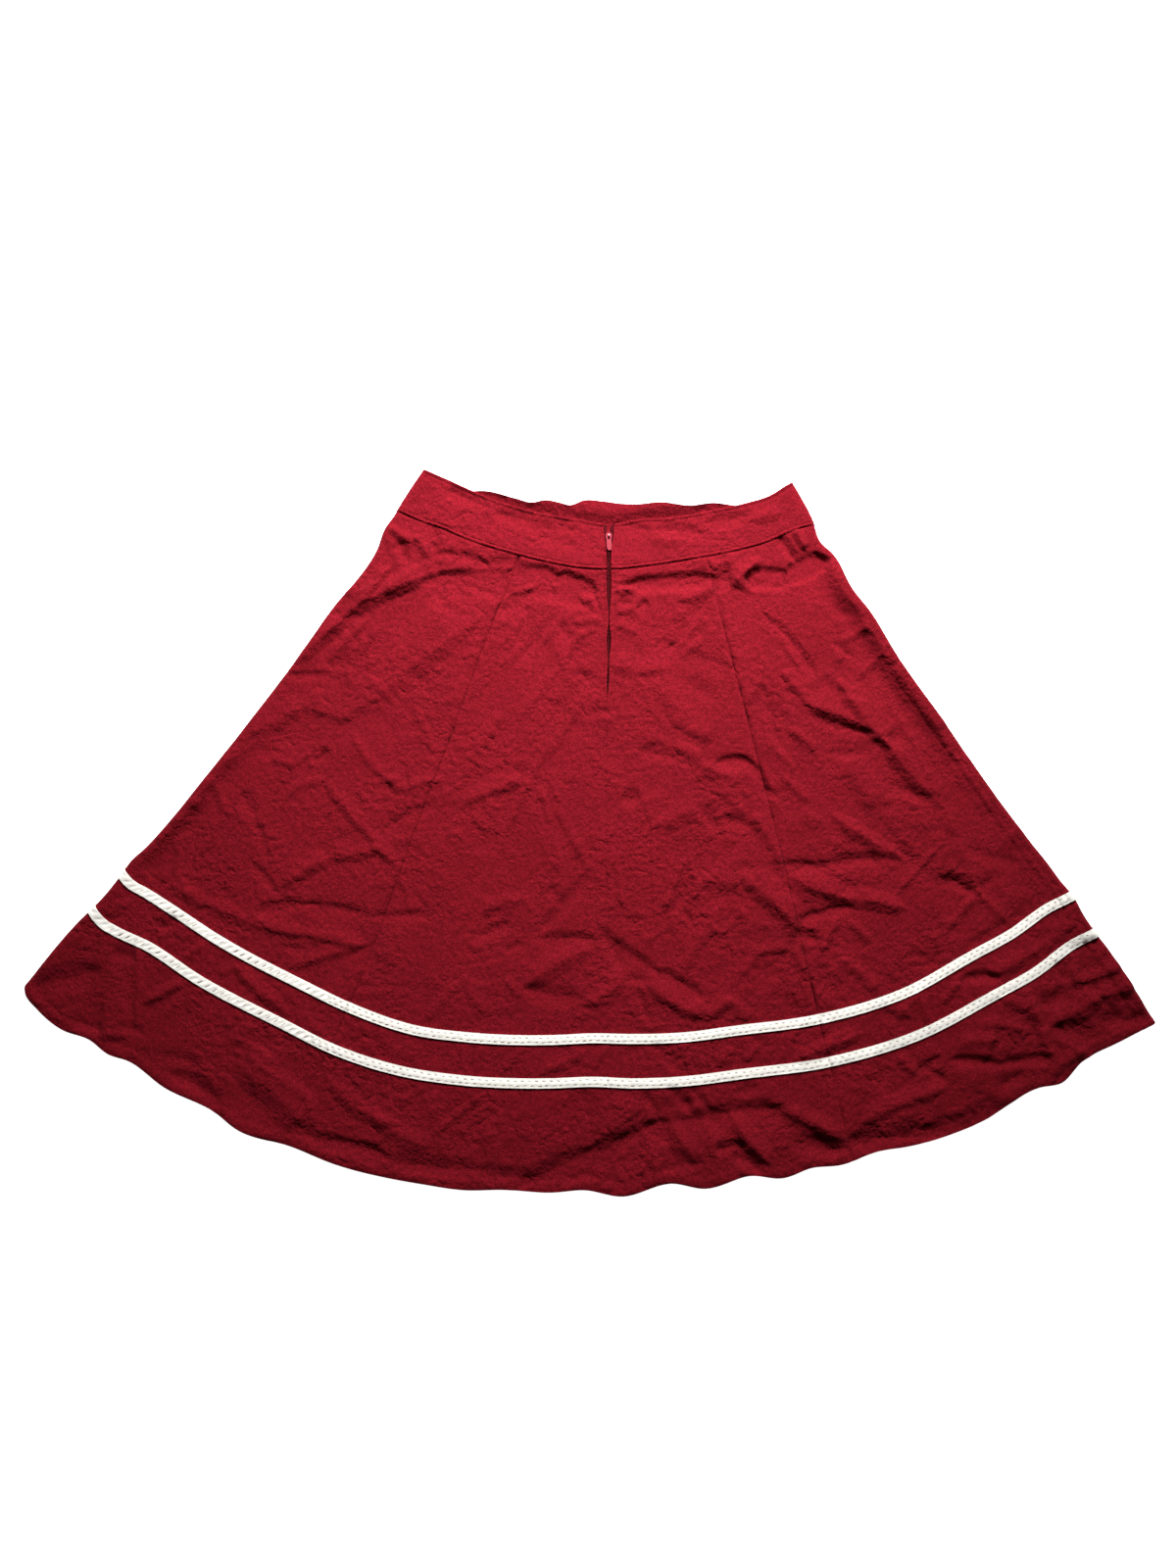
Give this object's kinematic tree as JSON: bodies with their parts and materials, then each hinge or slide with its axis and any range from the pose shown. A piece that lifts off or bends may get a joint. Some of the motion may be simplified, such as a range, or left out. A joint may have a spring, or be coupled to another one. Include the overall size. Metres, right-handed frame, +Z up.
{
  "type": "skirt",
  "caption": "Red twill a-line skirt laid flat with its back up: gored panels, waistband, back zip with a swinging pull, and two cream trims above a wavy hem",
  "frame": {"origin": "middle of the bounding box on the surface that the skirt lies on", "axes": "+X to the wearer's right, towards the right side fold as the back is seen; +Y from the hem towards the waist; +Z up from the surface, out of the skirt's back"},
  "size_m": [1.1042, 0.7278, 0.0097],
  "materials": {
    "red_twill": "matte twill",
    "cream_tape": "matte woven tape",
    "zip_tape": "matte woven tape",
    "zip_coil": "satin",
    "zip_enamel": "gloss enamel"
  },
  "bodies": {
    "skirt": {"back_side_gore_left": "red_twill", "back_centre_gore_left": "red_twill", "back_centre_gore_right": "red_twill", "back_side_gore_right": "red_twill", "front_panel": "red_twill", "waistband_back_left": "red_twill", "waistband_back_right": "red_twill", "waistband_front": "red_twill", "trim_upper": "cream_tape", "trim_lower": "cream_tape", "zip_tape_left": "zip_tape", "zip_tape_right": "zip_tape", "zip_chain": "zip_coil", "zip_slider": "zip_enamel"},
    "pull": {"zip_pull": "zip_enamel"}
  },
  "joints": [
    {"name": "pull_hinge", "type": "hinge", "parent": "skirt", "child": "pull", "pos_m": [0.02029, 0.29107, 0.0075], "axis": [-1, 0, 0], "range_deg": [0, 165]}
  ]
}
